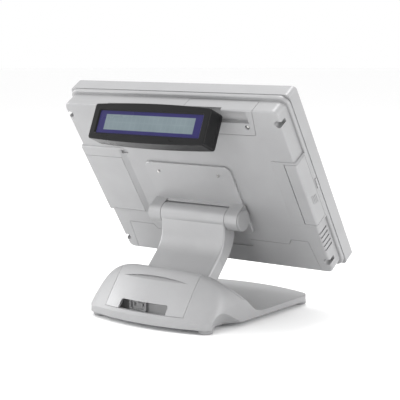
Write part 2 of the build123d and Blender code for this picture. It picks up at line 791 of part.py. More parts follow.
with BuildPart() as shell_outer:
    add(slab(bezel_inner_width, bezel_inner_height, rim_corner - 3, bezel_depth, rim_back - 1))
    add(rounded_back(rim_width, rim_height, rim_corner, bezel_depth + rim_groove, rim_back, 2.5))
    add(rounded_back(block_width, block_height, block_corner, bezel_depth + 1, shell_back, shell_round))
    add(bay(-1, 137.5, 158.0, (-50, 53)))
    add(bay(1, 100.0, 109.0, (-56, 58)))
    add(recess_form(0), mode=Mode.SUBTRACT)

with BuildPart() as shell_cavity:
    add(slab(block_width - 2 * wall, block_height - 2 * wall, block_corner - wall,
             bezel_depth - 1, shell_back - wall))
    add(recess_form(wall), mode=Mode.SUBTRACT)

with BuildPart() as shell_posts:
    add(pillars(wells, well_radius + 1.8, bezel_depth, shell_back + 5))
    add(shell_outer.part, mode=Mode.INTERSECT)

with BuildPart() as shell_skin:
    add(shell_outer.part)
    add(shell_cavity.part, mode=Mode.SUBTRACT)

drive_span = (-45.5, 50.5)
drive_inner_x, drive_slot = 160.6, 1.2
cover_span = (-53.0, 42.0)
cover_inner_x = 109.5
cable_half, cable_low, cable_recess = 58.0, -99.0, 1.2
with BuildPart() as rear_shell:
    add(shell_skin.part)
    add(shell_posts.part)
    add(pillars(wells, well_radius, well_floor, shell_back + 5), mode=Mode.SUBTRACT)
    add(pillars(wells, head_screw_radius, bezel_depth, well_floor), mode=Mode.SUBTRACT)
    add(head_block((-185, -drive_inner_x + drive_slot), (drive_span[0] - seam, drive_span[1] + seam),
                   (bay_front - seam, 60)), mode=Mode.SUBTRACT)
    add(head_block((cover_inner_x - seam, 185), (cover_span[0] - seam, cover_span[1] + seam),
                   (bay_front - seam, 60)), mode=Mode.SUBTRACT)
    add(hatch_form(seam), mode=Mode.SUBTRACT)
    add(connector_form(seam), mode=Mode.SUBTRACT)
    for k in range(vent_count):
        vent_v = vent_first - vent_pitch * k
        for outer_x, inner_x in ((-185, -173.4), (173.4, 185)):
            x_range = (min(outer_x, inner_x), max(outer_x, inner_x))
            add(head_block(x_range, (vent_v - 1.2, vent_v + 1.2), (29.5, 60)), mode=Mode.SUBTRACT)
    add(head_block((-185, -168), (button_low - 0.3, button_high + 0.3),
                   (button_depth - button_half_depth - 0.3, button_depth + button_half_depth + 0.3)),
        mode=Mode.SUBTRACT)
    add(head_block((95.5, 105.5), (49, 54.5), (shell_back - 1.5, 60)), mode=Mode.SUBTRACT)
    add(head_block((-132, -115), (82, 108), hatch_tab))
    add(head_block((-132, -115), (82, 89), (hatch_tab[0], shell_back - wall)))
    add(pillars([hatch_screw], 1.5, hatch_tab[0], hatch_tab[1]), mode=Mode.SUBTRACT)
    add(pillars(bracket_screws, 4.5, shell_back - wall - 4, shell_back - wall))
    add(pillars(bracket_screws, bracket_screw_radius, 40, 48), mode=Mode.SUBTRACT)
finish(rear_shell, "head_rear_shell")

with BuildPart() as front_bezel:
    with BuildSketch(head(0)):
        RectangleRounded(head_width, head_height, 6)
    extrude(amount=-bezel_depth)
    backwards = Axis((0, 0, 0), (0, cos_tilt, -sin_tilt))
    fillet(front_bezel.faces().sort_by(backwards)[0].edges(), radius=2)
    add(slab(bezel_inner_width, bezel_inner_height, 4, lip, bezel_depth), mode=Mode.SUBTRACT)
    add(pillars(wells, boss_radius, lip, bezel_depth))
    add(pillars(wells, head_screw_radius, 10, bezel_depth), mode=Mode.SUBTRACT)
    with BuildSketch(head(lip)):
        Rectangle(view_width, view_height)
    extrude(amount=lip, taper=-40, mode=Mode.SUBTRACT)
    add(pillars([(light_x, light_v)], light_radius, -1, lip), mode=Mode.SUBTRACT)
finish(front_bezel, "front_bezel")

with BuildPart() as status_light:
    add(pillars([(light_x, light_v)], light_radius, 0.1, lip))
    add(pillars([(light_x, light_v)], light_radius + 1, lip, lip + 2.5))
finish(status_light, "status_light")

with BuildPart() as touch_glass:
    add(slab(glass_width, glass_height, 3, lip, lip + 3))
finish(touch_glass, "touch_glass")

with BuildPart() as gasket:
    add(slab(glass_width, glass_height, 3, lip + 3, lip + 4))
    add(slab(308, 232, 1, lip + 3, lip + 4), mode=Mode.SUBTRACT)
finish(gasket, "dust_gasket")

panel_front_depth, panel_back_depth = lip + 4, 16.0
with BuildPart() as lcd_panel:
    add(slab(318, 242, 2, panel_front_depth, panel_back_depth))
finish(lcd_panel, "lcd_panel")

chassis_back = panel_back_depth + 1.5
standoff_back = 23.0
board_back = standoff_back + 1.6
standoffs = [(-44, -88), (-44, 88), (144, -88), (144, 88)]
with BuildPart() as chassis:
    add(slab(320, 246, 4, panel_back_depth, chassis_back))
    add(head_block((-170, -150), (-8, 14), (panel_back_depth, chassis_back)))
    add(pillars(standoffs, 4, chassis_back, standoff_back))
    add(pillars(standoffs, 1.2, panel_back_depth, standoff_back), mode=Mode.SUBTRACT)
finish(chassis, "chassis_plate")

with BuildPart() as mainboard:
    add(head_block((-50, 150), (-95, 95), (standoff_back, board_back)))
    add(pillars(standoffs, 1.2, standoff_back, board_back), mode=Mode.SUBTRACT)
    for x, v, length, width, rise in ((-30, 45, 18, 62, 3.2), (-8, 45, 18, 62, 3.2),
                                      (118, 40, 22, 22, 2.4), (118, -10, 30, 12, 8)):
        add(head_block((x - length / 2, x + length / 2), (v - width / 2, v + width / 2),
                       (board_back, board_back + rise)))
finish(mainboard, "mainboard")

with BuildPart() as heatsink:
    add(head_block((18, 102), (-32, 36), (board_back, board_back + 4)))
    for k in range(14):
        fin_x = 19.0 + 6.2 * k
        add(head_block((fin_x, fin_x + 1.6), (-32, 36), (board_back + 4, 39.5)))
finish(heatsink, "heatsink")

with BuildPart() as connector_block:
    add(head_block((-40, 140), (-95, -80), (board_back, 40)))
    port_x = -30.0
    for width, gap in ((16, 6), (16, 6), (14, 5), (14, 5), (31, 8), (20, 7), (16, 0)):
        add(head_block((port_x, port_x + width), (-100, -84), (board_back + 3, 37)), mode=Mode.SUBTRACT)
        add(head_block((port_x + 2, port_x + width - 2), (-92, -84), (board_back + 6, board_back + 8)))
        port_x += width + gap
finish(connector_block, "connector_block")

with BuildPart() as speaker:
    add(head_block((-140, -90), (-114, -86), (chassis_back, chassis_back + 11)))
    add(pillars([(-115, -100)], 11, chassis_back + 9, chassis_back + 11), mode=Mode.SUBTRACT)
    add(pillars([(-115, -100)], 7, chassis_back + 8.9, chassis_back + 10))
finish(speaker, "speaker")

with BuildPart() as power_switch:
    add(head_block((-168.5, -161.5), (button_low, button_high), (chassis_back, 25.6)))
finish(power_switch, "power_switch")

with BuildPart() as power_button:
    low, high = button_depth - button_half_depth, button_depth + button_half_depth
    add(head_block((-button_face, -171.2), (button_low, button_high), (low, high)))
    add(head_block((-171.2, -170.2), (button_low - 1.2, button_high + 1.2), (low - 0.7, high + 0.7)))
finish(power_button, "power_button")

with BuildPart() as head_screws:
    add(pillars(wells, 3.2, well_floor, well_floor + 2.4))
    add(pillars(wells, head_screw_radius, 11, well_floor))
finish(head_screws, "head_screws")

def side_panel(sign, x_in, v_range):
    """Hollow panel that closes a bay: its back wall and its side wall."""
    ends = (v_range[0] - 1, v_range[1] + 1)
    with BuildPart() as form:
        add(side_form(sign, x_in, bay_out, v_range, (bay_front, bay_back), bay_round))
        add(side_form(sign, x_in - 5, bay_out - wall, ends, (bay_front - 5, bay_back - wall),
                      bay_round - wall), mode=Mode.SUBTRACT)
    return form.part


with BuildPart() as drive_door:
    add(side_panel(-1, drive_inner_x, drive_span))
    for k in range(4):
        rib_depth = 32.0 + 3 * k
        add(head_block((-bay_out - 0.6, -bay_out + 0.5), (-20 + k, -8 + k), (rib_depth, rib_depth + 1.2)))
finish(drive_door, "drive_door")

tray_front, tray_back = 28.2, 43.0
with BuildPart() as drive_tray:
    add(side_form(-1, 62, bay_out - wall, (-42, 42), (tray_front, tray_back), bay_round))
    add(head_block((-170, -60), (-40.3, 40.3), (tray_front + 1.6, tray_back + 1)), mode=Mode.SUBTRACT)
    add(head_block((-150, -80), (-28, 28), (tray_front - 1, tray_back)), mode=Mode.SUBTRACT)
finish(drive_tray, "drive_tray")

with BuildPart() as storage_drive:
    add(head_block((-166, -66), (-35, 35), (tray_front + 1.6, tray_front + 11.1)))
    add(pillars([(-108, 0)], 24, tray_front + 10.6, tray_front + 12), mode=Mode.SUBTRACT)
finish(storage_drive, "storage_drive")

with BuildPart() as side_cover:
    add(side_panel(1, cover_inner_x, cover_span))
finish(side_cover, "side_cover")

hatch_seat = 44.5                # depth of the hatch screw's head
with BuildPart() as top_hatch:
    add(shell_skin.part)
    add(pillars([hatch_screw], 5.2, hatch_tab[1], shell_back - 1))
    add(hatch_form(0), mode=Mode.INTERSECT)
    add(pillars([hatch_screw], 3.4, hatch_seat, 60), mode=Mode.SUBTRACT)
    add(pillars([hatch_screw], 1.5, 40, 60), mode=Mode.SUBTRACT)
finish(top_hatch, "top_hatch")

with BuildPart() as hatch_screw_piece:
    add(pillars([hatch_screw], 3.1, hatch_seat, hatch_seat + 1.6))
    add(pillars([hatch_screw], 1.5, hatch_tab[0], hatch_seat))
finish(hatch_screw_piece, "hatch_screw")

with BuildPart() as connector_cover:
    add(shell_skin.part)
    add(connector_form(0), mode=Mode.INTERSECT)
    add(head_block((-cable_half, cable_half), (cable_low, -80), (shell_back - cable_recess, 60)),
        mode=Mode.SUBTRACT)
finish(connector_cover, "connector_cover")


# ---------------------------------------------------------------- customer display
ear_inner, ear_outer = 22.0, 26.0
lug_inner, lug_outer = 14.0, 21.7
lug_radius = 6.5
pin_radius = 3.0
display_seam = 20.0
skin = 2.0
window_half_width, window_half_height = 84.2, 15.3
window_depth, window_back, module_front = 2.0, 3.4, 4.6
frame_slope = 40.0             # degrees of the frame round the window
module_back, display_board_back = 10.2, 11.8
post_x, post_y = 88.2, 16.0
posts = [(sx * post_x, sy * post_y) for sx in (-1, 1) for sy in (-1, 1)]


def display_outline(inset):
    """Outline of the customer display with slightly bowed long edges, moved inwards by inset."""
    half, crown = display_half_width - inset, display_half_height - inset
    corner = crown - display_crown
    with BuildSketch() as outline:
        with BuildLine():
            ThreePointArc((-half, corner), (0, crown), (half, corner))
            Line((half, corner), (half, -corner))
            ThreePointArc((half, -corner), (0, -crown), (-half, -corner))
            Line((-half, -corner), (-half, corner))
        make_face()
        fillet(outline.vertices(), radius=3.5 - inset)
    return outline.sketch


def display_slab(outline, start, end):
    """Sketch extruded between two depths behind the customer display's face."""
    with BuildPart() as form:
        with BuildSketch(display(start)):
            add(outline)
        extrude(amount=start - end)
    return form.part


def rectangle(half_width, half_height, corner):
    """Rounded rectangle sketch."""
    with BuildSketch() as outline:
        RectangleRounded(2 * half_width, 2 * half_height, corner)
    return outline.sketch


def dots(points, radius):
    """Sketch of equal circles."""
    with BuildSketch() as outline:
        with Locations(*points):
            Circle(radius)
    return outline.sketch


with BuildPart() as display_shape:
    add(display_slab(display_outline(0), 0, display_depth))
    facing = Axis((0, 0, 0), (0, cos_display, sin_display))
    fillet(display_shape.faces().sort_by(facing)[0].edges(), radius=4)
    fillet(display_shape.faces().sort_by(facing)[-1].edges(), radius=1.5)

with BuildPart() as display_hollow:
    add(display_slab(display_outline(skin), module_front, display_depth - skin))

with BuildPart() as display_shell:
    add(display_shape.part)
    add(display_hollow.part, mode=Mode.SUBTRACT)
    add(display_slab(dots(posts, 5), 12, display_depth - 1))

with BuildPart() as display_front:
    add(display_shell.part)
    add(display_slab(rectangle(110, 40, 1), display_seam, display_depth + 20), mode=Mode.SUBTRACT)
    with BuildSketch(display(window_depth)):
        add(rectangle(window_half_width, window_half_height, 1))
    extrude(amount=window_depth + 0.1, taper=-frame_slope, mode=Mode.SUBTRACT)
    add(display_slab(rectangle(window_half_width, window_half_height, 1), window_depth - 1, window_back),
        mode=Mode.SUBTRACT)
    add(display_slab(rectangle(76, 12.5, 1), -1, 10), mode=Mode.SUBTRACT)
    add(display_slab(dots(posts, 1.1), 12, display_depth), mode=Mode.SUBTRACT)
finish(display_front, "display_front")

with BuildPart() as display_back:
    add(display_shell.part)
    add(display_slab(rectangle(110, 40, 1), -1, display_seam + 0.3), mode=Mode.SUBTRACT)
    for low in (-lug_outer, lug_inner):
        with BuildSketch(side(low)):
            with Locations((pivot_y, pivot_z)):
                Circle(lug_radius)
            with BuildLine():
                lug = Plane(origin=(pivot_y, pivot_z, 0), x_dir=(cos_display, sin_display, 0))
                Polyline(lug.from_local_coords((0, lug_radius)), lug.from_local_coords((9.5, 8)),
                         lug.from_local_coords((9.5, -8)), lug.from_local_coords((0, -lug_radius)),
                         close=True)
            make_face()
        extrude(amount=lug_outer - lug_inner)
    with BuildSketch(side(-40)):
        with Locations((pivot_y, pivot_z)):
            Circle(pin_radius + running_clearance)
    extrude(amount=80, mode=Mode.SUBTRACT)
    add(display_slab(dots(posts, 1.1), 12, display_depth), mode=Mode.SUBTRACT)
    add(display_slab(dots(posts, 2.7), display_depth - 2, display_depth + 2), mode=Mode.SUBTRACT)
finish(display_back, "display_back")

with BuildPart() as display_window:
    add(display_slab(rectangle(window_half_width, window_half_height, 1), window_depth, window_back))
finish(display_window, "display_window")

with BuildPart() as display_module:
    add(display_slab(rectangle(80, 14.5, 1), module_front, module_back))
finish(display_module, "display_module")

with BuildPart() as display_board:
    add(display_slab(rectangle(82, 15.5, 1), module_back, display_board_back))
    for x, width, rise in ((-50, 24, 2.5), (-10, 14, 2), (20, 14, 2), (55, 26, 6)):
        with BuildSketch(display(display_board_back)):
            with Locations((x, 0)):
                Rectangle(width, 12)
        extrude(amount=-rise)
finish(display_board, "display_board")

with BuildPart() as display_screws:
    add(display_slab(dots(posts, 2.5), display_depth - 2, display_depth - 0.4))
    add(display_slab(dots(posts, 1.1), 13, display_depth - 2))
finish(display_screws, "display_screws")

with BuildPart() as display_bracket:
    add(head_block((-28, 28), (78, 109), (shell_back, shell_back + 2.5)))
    for low in (-ear_outer, ear_inner):
        with BuildSketch(side(low)):
            with Locations((pivot_y, pivot_z)):
                Circle(lug_radius)
        extrude(amount=ear_outer - ear_inner)
        with BuildSketch(head_side(low)):
            with BuildLine():
                Polyline((shell_back + 1, 82), (shell_back + 1, 108),
                         (pivot_depth, pivot_up + lug_radius),
                         (pivot_depth + 4, pivot_up - 5), (shell_back + 6, 84), close=True)
            make_face()
        extrude(amount=ear_outer - ear_inner)
    with BuildSketch(side(-40)):
        with Locations((pivot_y, pivot_z)):
            Circle(pin_radius)
    extrude(amount=80, mode=Mode.SUBTRACT)
    add(pillars([(x, 81.5) for x in (-18, 0, 18)], 1.5, shell_back, shell_back + 4), mode=Mode.SUBTRACT)
finish(display_bracket, "display_bracket")

with BuildPart() as display_pin:
    with BuildSketch(side(-ear_outer - 1.5)):
        with Locations((pivot_y, pivot_z)):
            Circle(pin_radius)
    extrude(amount=2 * ear_outer + 3)
    with BuildSketch(side(ear_outer)):
        with Locations((pivot_y, pivot_z)):
            Circle(pin_radius + 1.8)
    extrude(amount=1.5)
finish(display_pin, "display_pin")
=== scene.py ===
import json
import math

import bmesh
import bpy
from mathutils import Matrix, Vector


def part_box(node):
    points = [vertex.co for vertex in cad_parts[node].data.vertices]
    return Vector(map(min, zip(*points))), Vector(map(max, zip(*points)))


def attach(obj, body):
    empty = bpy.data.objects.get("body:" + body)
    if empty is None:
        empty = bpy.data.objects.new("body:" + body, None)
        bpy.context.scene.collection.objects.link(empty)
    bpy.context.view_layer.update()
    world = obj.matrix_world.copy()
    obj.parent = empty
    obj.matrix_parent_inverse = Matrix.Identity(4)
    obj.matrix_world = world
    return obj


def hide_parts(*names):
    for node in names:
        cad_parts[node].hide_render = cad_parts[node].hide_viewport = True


# Looks of the touch terminal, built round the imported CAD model. Metres, +Z up.

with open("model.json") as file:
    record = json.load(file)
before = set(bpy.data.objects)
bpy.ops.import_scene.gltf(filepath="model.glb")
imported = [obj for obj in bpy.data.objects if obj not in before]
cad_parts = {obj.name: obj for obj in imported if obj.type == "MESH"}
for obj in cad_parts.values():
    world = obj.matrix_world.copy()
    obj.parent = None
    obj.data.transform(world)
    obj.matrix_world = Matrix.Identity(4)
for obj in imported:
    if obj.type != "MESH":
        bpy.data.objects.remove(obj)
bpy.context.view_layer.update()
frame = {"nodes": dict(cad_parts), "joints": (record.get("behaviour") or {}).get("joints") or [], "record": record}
record = frame["record"]
scene = bpy.context.scene
MM = 0.001


# ------------------------------------------------------------------ places taken from the frame
def joint_axis_point(name):
    """A point on a hinge's axis."""
    return Vector(next(j["pos_m"] for j in frame["joints"] if j["name"] == name))


def middle(node):
    low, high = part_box(node)
    return (low + high) / 2


down_screen = Vector(next(j["axis"] for j in frame["joints"] if j["name"] == "connector_cover_slide"))
HEAD_UP = -down_screen.normalized()
HEAD_RIGHT = Vector((1, 0, 0))
HEAD_BACK = HEAD_UP.cross(HEAD_RIGHT) * -1
HEAD_FACE = middle("touch_glass")
HINGE = joint_axis_point("head_tilt")
WINDOW_HALF_HEIGHT, WINDOW_THICKNESS = 15.3 * MM, 1.4 * MM


def display_axes():
    """The customer display's facing and up directions, from its window's box."""
    low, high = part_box("display_window")
    height, depth = high.z - low.z, high.y - low.y
    half, thickness = WINDOW_HALF_HEIGHT, WINDOW_THICKNESS
    lean = math.atan2(2 * half * depth - thickness * height, 2 * half * height - thickness * depth)
    return Vector((0, math.cos(lean), math.sin(lean))), Vector((0, -math.sin(lean), math.cos(lean)))


DISPLAY_FACING, DISPLAY_UP = display_axes()
DISPLAY_RIGHT = Vector((-1, 0, 0))
DISPLAY_MIDDLE = middle("display_window")
LCD_HALF_WIDTH, LCD_HALF_HEIGHT = 73.0 * MM, 10.5 * MM
CELL_PITCH_X, CELL_PITCH_Y = 7.3 * MM, 10.5 * MM
CELL_SHARE = 0.42                # part of a cell's half pitch that its character fills
ACTIVE_HALF_WIDTH, ACTIVE_HALF_HEIGHT = 152.0 * MM, 114.0 * MM


# ------------------------------------------------------------------ camera, light and floor
CAMERA_PLACE = (-0.9712, 1.2926, 0.3674)
CAMERA_LOOK = Vector((0.5962, -0.7917, -0.1326))
LENS, SENSOR_WIDTH, CLIP_END = 108.14, 36.0, 60.0
FLOOR_RADIUS = 14.0
WORLD_STRENGTH = 1.0
LIGHTS = (  # name, place, target, size in metres, power in watts
    ("key_left", (2.1, 0.9, 0.75), (0, 0, 0.14), 0.9, 26),
    ("overhead", (0.1, 0.0, 2.1), (0, 0, 0.15), 1.0, 20),
    ("from_right", (-2.1, -0.3, 0.8), (0, 0, 0.12), 0.9, 18),
    ("low_front", (0.3, 2.1, 0.6), (0, 0, 0.12), 0.8, 10),
)


def look_at(obj, target):
    obj.rotation_euler = (Vector(target) - obj.location).to_track_quat("-Z", "Y").to_euler()


def add_camera():
    camera_data = bpy.data.cameras.new("camera")
    camera_data.lens = LENS
    camera_data.sensor_width = SENSOR_WIDTH
    camera_data.clip_end = CLIP_END
    camera = bpy.data.objects.new("camera", camera_data)
    camera.location = CAMERA_PLACE
    look_at(camera, camera.location + CAMERA_LOOK)
    scene.collection.objects.link(camera)
    scene.camera = camera


def add_light(name, place, target, size, power):
    light_data = bpy.data.lights.new(name, "AREA")
    light_data.shape = "DISK"
    light_data.size = size
    light_data.energy = power
    light = bpy.data.objects.new(name, light_data)
    light.location = place
    scene.collection.objects.link(light)
    look_at(light, target)


def add_world(strength):
    world = bpy.data.worlds.new("studio")
    world.use_nodes = True
    background = world.node_tree.nodes["Background"]
    background.inputs["Color"].default_value = (1.0, 1.0, 1.0, 1.0)
    background.inputs["Strength"].default_value = strength
    scene.world = world


def add_floor():
    bm = bmesh.new()
    bmesh.ops.create_circle(bm, cap_ends=True, segments=96, radius=FLOOR_RADIUS)
    mesh = bpy.data.meshes.new("floor")
    bm.to_mesh(mesh)
    bm.free()
    floor = bpy.data.objects.new("floor", mesh)
    scene.collection.objects.link(floor)
    paint = bpy.data.materials.new("floor_paint")
    paint.use_nodes = True
    shader = paint.node_tree.nodes["Principled BSDF"]
    shader.inputs["Base Color"].default_value = (0.98, 0.98, 0.98, 1.0)
    shader.inputs["Roughness"].default_value = 0.9
    mesh.materials.append(paint)


scene.view_settings.view_transform = "Standard"
add_camera()
add_world(WORLD_STRENGTH)
add_floor()
for light in LIGHTS:
    add_light(*light)


# ------------------------------------------------------------------ materials
class Paint:
    """A node material: a Principled shader with detail worked from object coordinates."""

    def __init__(self, name, metallic=0.0, coat=0.0, specular=0.5, edge=0.0):
        self.material = bpy.data.materials.new(name)
        self.material.use_nodes = True
        self.tree = self.material.node_tree
        self.shader = self.tree.nodes["Principled BSDF"]
        self.shader.inputs["Metallic"].default_value = metallic
        self.shader.inputs["Coat Weight"].default_value = coat
        self.shader.inputs["Specular IOR Level"].default_value = specular
        self.place = self.tree.nodes.new("ShaderNodeTexCoord").outputs["Object"]
        if edge > 0:
            rounding = self.tree.nodes.new("ShaderNodeBevel")
            rounding.samples = 6
            rounding.inputs["Radius"].default_value = edge
            self.link(rounding.outputs["Normal"], self.shader.inputs["Normal"])

    def link(self, source, target):
        self.tree.links.new(source, target)

    def set(self, target, value):
        if isinstance(value, bpy.types.NodeSocket):
            self.link(value, target)
        else:
            target.default_value = value

    def noise(self, scale, detail=3.0, vector=None, roughness=0.5):
        node = self.tree.nodes.new("ShaderNodeTexNoise")
        node.inputs["Scale"].default_value = scale
        node.inputs["Detail"].default_value = detail
        node.inputs["Roughness"].default_value = roughness
        self.link(vector or self.place, node.inputs["Vector"])
        return node.outputs["Fac"]

    def spread(self, value, low, high, start=0.3, end=0.7):
        node = self.tree.nodes.new("ShaderNodeMapRange")
        self.link(value, node.inputs["Value"])
        node.inputs["From Min"].default_value = start
        node.inputs["From Max"].default_value = end
        node.inputs["To Min"].default_value = low
        node.inputs["To Max"].default_value = high
        return node.outputs["Result"]

    def mix(self, factor, first, second):
        node = self.tree.nodes.new("ShaderNodeMix")
        node.data_type = "RGBA"
        self.set(node.inputs["Factor"], factor)
        for index, value in ((6, first), (7, second)):
            if not isinstance(value, bpy.types.NodeSocket):
                value = (*value[:3], 1.0)
            self.set(node.inputs[index], value)
        return node.outputs[2]

    def math(self, operation, first, second=0.0):
        node = self.tree.nodes.new("ShaderNodeMath")
        node.operation = operation
        self.set(node.inputs[0], first)
        self.set(node.inputs[1], second)
        return node.outputs[0]

    def along(self, direction, origin=(0, 0, 0)):
        """Distance of a point from origin along a direction, in metres."""
        shift = self.tree.nodes.new("ShaderNodeVectorMath")
        shift.operation = "SUBTRACT"
        self.link(self.place, shift.inputs[0])
        shift.inputs[1].default_value = tuple(origin)
        dot = self.tree.nodes.new("ShaderNodeVectorMath")
        dot.operation = "DOT_PRODUCT"
        self.link(shift.outputs[0], dot.inputs[0])
        dot.inputs[1].default_value = tuple(direction)
        return dot.outputs["Value"]

    def stretched(self, scale):
        node = self.tree.nodes.new("ShaderNodeMapping")
        self.link(self.place, node.inputs["Vector"])
        node.inputs["Scale"].default_value = scale
        return node.outputs["Vector"]

    def within(self, value, half, soft):
        """1 where the value lies within half of zero, with a soft edge."""
        return self.spread(self.math("ABSOLUTE", value), 1.0, 0.0, half - soft, half + soft)

    def both(self, first, second):
        return self.math("MULTIPLY", first, second)

    def repeat(self, value, pitch, share):
        """1 in the middle share of every cell of the given pitch, otherwise 0."""
        phase = self.math("FRACT", self.math("DIVIDE", value, pitch))
        away = self.math("ABSOLUTE", self.math("SUBTRACT", phase, 0.5))
        return self.spread(away, 1.0, 0.0, share - 0.04, share + 0.04)

    def bump(self, height, distance, strength=1.0):
        node = self.tree.nodes.new("ShaderNodeBump")
        node.inputs["Strength"].default_value = strength
        node.inputs["Distance"].default_value = distance
        self.link(height, node.inputs["Height"])
        previous = self.shader.inputs["Normal"].links
        if previous:
            self.link(previous[0].from_socket, node.inputs["Normal"])
        self.link(node.outputs["Normal"], self.shader.inputs["Normal"])

    def color(self, value):
        self.set(self.shader.inputs["Base Color"], value)

    def rough(self, value):
        self.set(self.shader.inputs["Roughness"], value)


def shade(color, factor):
    return tuple(c * factor for c in color)


def moulded(name, color, rough, grain=0.00004, coat=0.0, scale=1500.0, edge=0.0005, specular=0.5,
             metallic=0.0):
    """Moulded plastic: spark-eroded grain, faint flow mottling and a little handling wear."""
    paint = Paint(name, metallic, coat, specular, edge)
    mottle = paint.spread(paint.noise(22.0, 4.0), 0.0, 1.0)
    cloud = paint.mix(mottle, shade(color, 0.96), shade(color, 1.03))
    fleck = paint.spread(paint.noise(900.0, 2.0), 0.0, 0.12, 0.45, 0.75)
    paint.color(paint.mix(fleck, cloud, shade(color, 1.12)))
    wipe = paint.noise(9.0, 5.0, paint.stretched((1.0, 0.45, 2.2)), 0.6)
    paint.rough(paint.spread(wipe, rough - 0.05, rough + 0.07))
    paint.bump(paint.noise(scale, 2.0), grain, 0.5)
    paint.bump(paint.noise(40.0, 2.0), 0.00005, 0.25)
    return paint.material


def display_face(name):
    """Tinted window over a two-line character panel that is switched off."""
    paint = Paint(name, specular=0.2)
    across = paint.along(DISPLAY_RIGHT, DISPLAY_MIDDLE)
    up = paint.along(DISPLAY_UP, DISPLAY_MIDDLE)
    inside = paint.both(paint.within(across, LCD_HALF_WIDTH, 0.0003),
                        paint.within(up, LCD_HALF_HEIGHT, 0.0003))
    cell = paint.both(paint.repeat(across, CELL_PITCH_X, CELL_SHARE),
                      paint.repeat(up, CELL_PITCH_Y, CELL_SHARE))
    haze = paint.spread(paint.noise(30.0, 3.0), 0.0, 1.0)
    glass = paint.mix(haze, (0.118, 0.150, 0.164), (0.145, 0.180, 0.195))
    lit = paint.mix(paint.math("MULTIPLY", cell, 0.2), glass, (0.098, 0.126, 0.140))
    tint = paint.mix(haze, (0.016, 0.014, 0.070), (0.021, 0.018, 0.086))
    paint.color(paint.mix(inside, tint, lit))
    paint.rough(paint.spread(paint.noise(14.0, 4.0), 0.16, 0.30))
    paint.bump(paint.noise(60.0, 2.0), 0.00001, 0.2)
    return paint.material


def touch_face(name):
    """Etched touch glass over a dark panel: a black printed border, faint smudges and wipe marks."""
    paint = Paint(name, coat=0.5)
    across = paint.along(HEAD_RIGHT, HEAD_FACE)
    up = paint.along(HEAD_UP, HEAD_FACE)
    active = paint.both(paint.within(across, ACTIVE_HALF_WIDTH, 0.0004),
                        paint.within(up, ACTIVE_HALF_HEIGHT, 0.0004))
    haze = paint.spread(paint.noise(16.0, 4.0), 0.0, 1.0)
    panel = paint.mix(haze, (0.017, 0.019, 0.022), (0.025, 0.027, 0.031))
    paint.color(paint.mix(active, (0.006, 0.006, 0.007), panel))
    wipes = paint.noise(7.0, 6.0, paint.stretched((1.0, 2.5, 2.5)), 0.65)
    smudges = paint.spread(paint.noise(46.0, 3.0), 0.0, 0.1, 0.55, 0.72)
    paint.rough(paint.math("ADD", paint.spread(wipes, 0.22, 0.32), smudges))
    paint.bump(paint.noise(2400.0, 2.0), 0.000004, 0.3)
    return paint.material


def metal(name, color, rough, brushed=(1.0, 1.0, 1.0), metallic=1.0):
    """Machined, plated or cast metal with fine directional marks."""
    paint = Paint(name, metallic=metallic)
    marks = paint.noise(260.0, 4.0, paint.stretched(brushed))
    patch = paint.noise(30.0, 4.0)
    paint.color(paint.mix(paint.spread(patch, 0.0, 1.0), shade(color, 0.86), shade(color, 1.06)))
    paint.rough(paint.spread(marks, rough - 0.08, rough + 0.1))
    paint.bump(marks, 0.00003, 0.5)
    return paint.material


silver = (0.32, 0.32, 0.325)
SHEEN = 0.2                      # metal flake in the silver finish
MATERIALS = {
    "body_plastic": moulded("silver_plastic", silver, 0.43, metallic=SHEEN),
    "bezel_plastic": moulded("bezel_plastic", shade(silver, 1.03), 0.4, metallic=SHEEN),
    "base_plastic": moulded("base_plastic", shade(silver, 0.98), 0.52, metallic=SHEEN),
    "cover_plastic": moulded("cover_plastic", shade(silver, 1.06), 0.4, metallic=SHEEN),
    "arm_plastic": moulded("arm_plastic", shade(silver, 1.06), 0.37, metallic=SHEEN),
    "bracket_metal": moulded("bracket_paint", silver, 0.37, 0.00003, 0.1, metallic=SHEEN),
    "cast_arm": metal("cast_aluminium", (0.55, 0.55, 0.56), 0.5),
    "sheet_steel": metal("zinc_sheet", (0.52, 0.53, 0.55), 0.38, (1.0, 14.0, 1.0)),
    "ballast_steel": metal("ballast_steel", (0.32, 0.32, 0.33), 0.5, (8.0, 1.0, 1.0)),
    "screw_steel": metal("nickel_screw", (0.62, 0.61, 0.60), 0.26, (3.0, 3.0, 3.0)),
    "foot_rubber": moulded("grey_rubber", (0.27, 0.27, 0.275), 0.75, 0.0001, 0.0, 700.0),
    "adapter_plastic": moulded("adapter_plastic", (0.42, 0.42, 0.425), 0.5),
    "gasket_rubber": moulded("foam_rubber", (0.02, 0.02, 0.02), 0.9, 0.0002, 0.0, 500.0),
    "board": moulded("solder_mask", (0.015, 0.10, 0.045), 0.35, 0.00005, 0.3, 400.0),
    "heatsink_metal": metal("heatsink_metal", (0.70, 0.71, 0.72), 0.35, (1.0, 1.0, 12.0)),
    "black_plastic": moulded("black_plastic", (0.020, 0.020, 0.022), 0.45),
    "dark_plastic": moulded("satin_black", (0.008, 0.008, 0.0085), 0.30, 0.00001, specular=0.16),
    "lcd": moulded("panel_back", (0.03, 0.032, 0.036), 0.25),
    "light_lens": moulded("green_lens", (0.10, 0.42, 0.12), 0.2, 0.00001, 0.5),
    "indigo_window": display_face("indigo_window"),
    "screen_glass": touch_face("touch_glass"),
}

slots = {entry["node"]: entry["material_slot"] for entry in record["subparts"]}
for node, obj in frame["nodes"].items():
    obj.data.materials.clear()
    obj.data.materials.append(MATERIALS[slots[node]])


